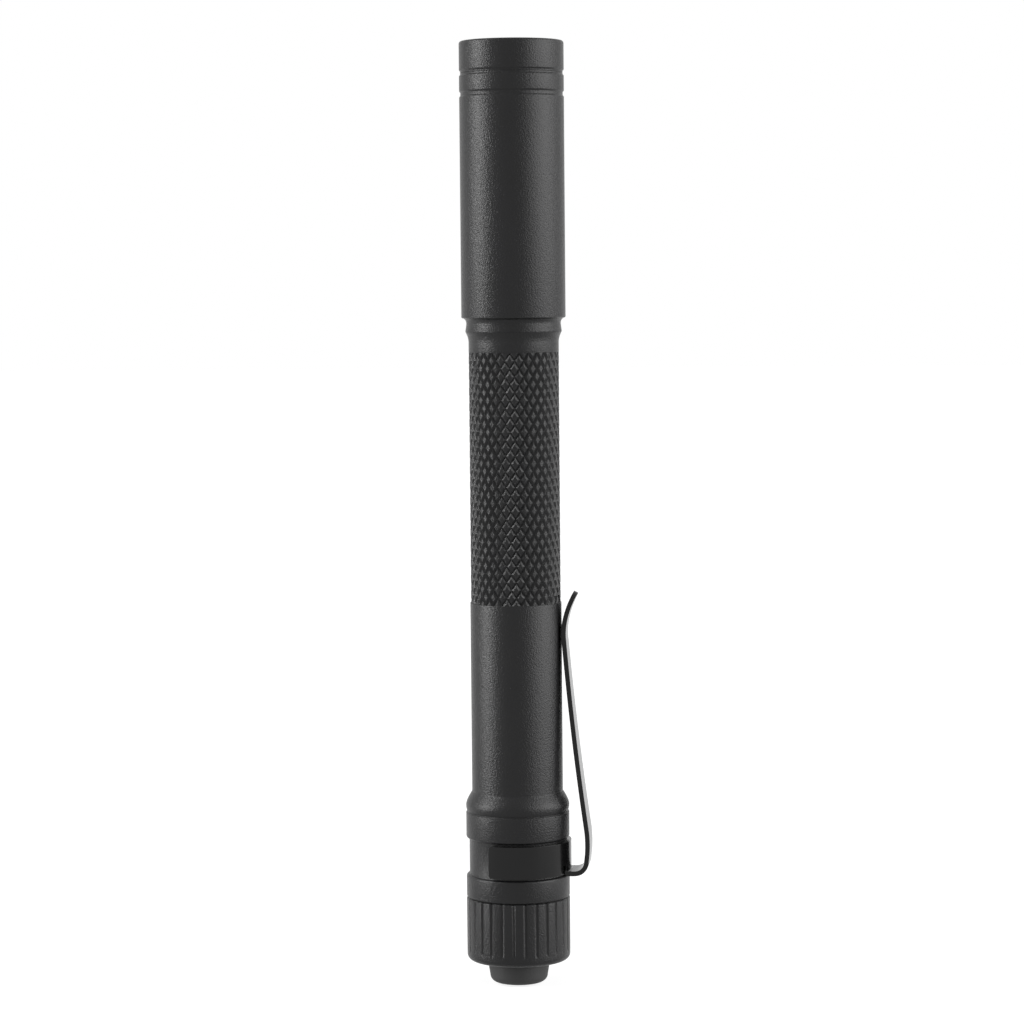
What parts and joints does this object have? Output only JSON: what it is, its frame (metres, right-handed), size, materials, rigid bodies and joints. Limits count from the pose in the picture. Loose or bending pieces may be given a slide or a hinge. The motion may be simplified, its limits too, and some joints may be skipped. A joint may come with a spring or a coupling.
{
  "type": "pocket flashlight",
  "caption": "Slim cylindrical pocket flashlight with a knurled grip, a spring clip, a screw-off fluted tail cap and a rubber push button at the tail.",
  "frame": {"origin": "middle of the tail button's flat end", "axes": "+Z along the axis from the tail button to the lens, +X towards the pocket clip"},
  "size_m": [0.0184, 0.0158, 0.1375],
  "materials": {
    "anodised_black": "bead-blasted, hard-anodised black",
    "black_spring_steel": "black-coated spring steel, satin",
    "black_rubber": "moulded, matte",
    "nitrile": "moulded, slightly greased",
    "clear_glass": "polished",
    "reflector_coat": "polished and metallised",
    "bare_aluminium": "turned",
    "led_board_white": "white solder mask on an aluminium core",
    "led_ceramic": "sintered",
    "led_silicone": "clear silicone over phosphor",
    "white_plastic": "moulded",
    "black_plastic": "moulded",
    "red_sleeve": "extruded sleeve",
    "circuit_board": "green solder mask",
    "brass": "turned",
    "plated_steel": "nickel plated wire",
    "cell_wrap": "plain printed film over a steel can"
  },
  "bodies": {
    "light_body": {"barrel": "anodised_black", "battery_front": "cell_wrap", "battery_rear": "cell_wrap", "head_shell": "anodised_black", "head_o_ring": "nitrile", "front_contact": "brass", "driver_board": "circuit_board", "driver_inductor": "black_plastic", "driver_chip": "black_plastic", "heat_sink": "bare_aluminium", "led_wire_positive": "red_sleeve", "led_wire_negative": "black_plastic", "led_board": "led_board_white", "led_package": "led_ceramic", "led_dome": "led_silicone", "led_gasket": "white_plastic", "reflector": "reflector_coat", "lens_window": "clear_glass", "lens_o_ring": "nitrile", "bezel_ring": "anodised_black"},
    "tail_seal": {"tail_o_ring": "nitrile"},
    "tail_cap": {"tail_cap": "anodised_black", "switch_housing": "black_plastic", "switch_base": "black_plastic", "center_terminal": "brass", "side_terminal": "brass", "switch_board": "circuit_board", "retaining_ring": "brass", "battery_spring": "plated_steel", "switch_return_spring": "plated_steel"},
    "tail_button": {"switch_boot": "black_rubber", "switch_plunger": "white_plastic", "switch_rotor": "white_plastic", "contact_bridge": "brass"},
    "pocket_clip": {"pocket_clip": "black_spring_steel"}
  },
  "joints": [
    {"name": "tailcap_travel", "type": "slide", "parent": "light_body", "child": "tail_seal", "axis": [0, 0, -1], "range_m": [0, 0.0044]},
    {"name": "tailcap_turn", "type": "hinge", "parent": "tail_seal", "child": "tail_cap", "pos_m": [0, 0, 0.0127], "axis": [0, 0, -1], "range_deg": [0, 1980]},
    {"name": "button_press", "type": "slide", "parent": "tail_cap", "child": "tail_button", "axis": [0, 0, 1], "range_m": [0, 0.0016], "stiffness_N_per_m": 3000, "springref_m": -0.0004, "deforming": ["switch_boot", "switch_return_spring"]},
    {"name": "clip_swivel", "type": "hinge", "parent": "light_body", "child": "pocket_clip", "pos_m": [0, 0, 0.0188], "axis": [0, 0, 1], "continuous": true}
  ],
  "couplings": [
    {"joint": "tailcap_turn", "follows": "tailcap_travel", "rad_per_m": 7854}
  ]
}
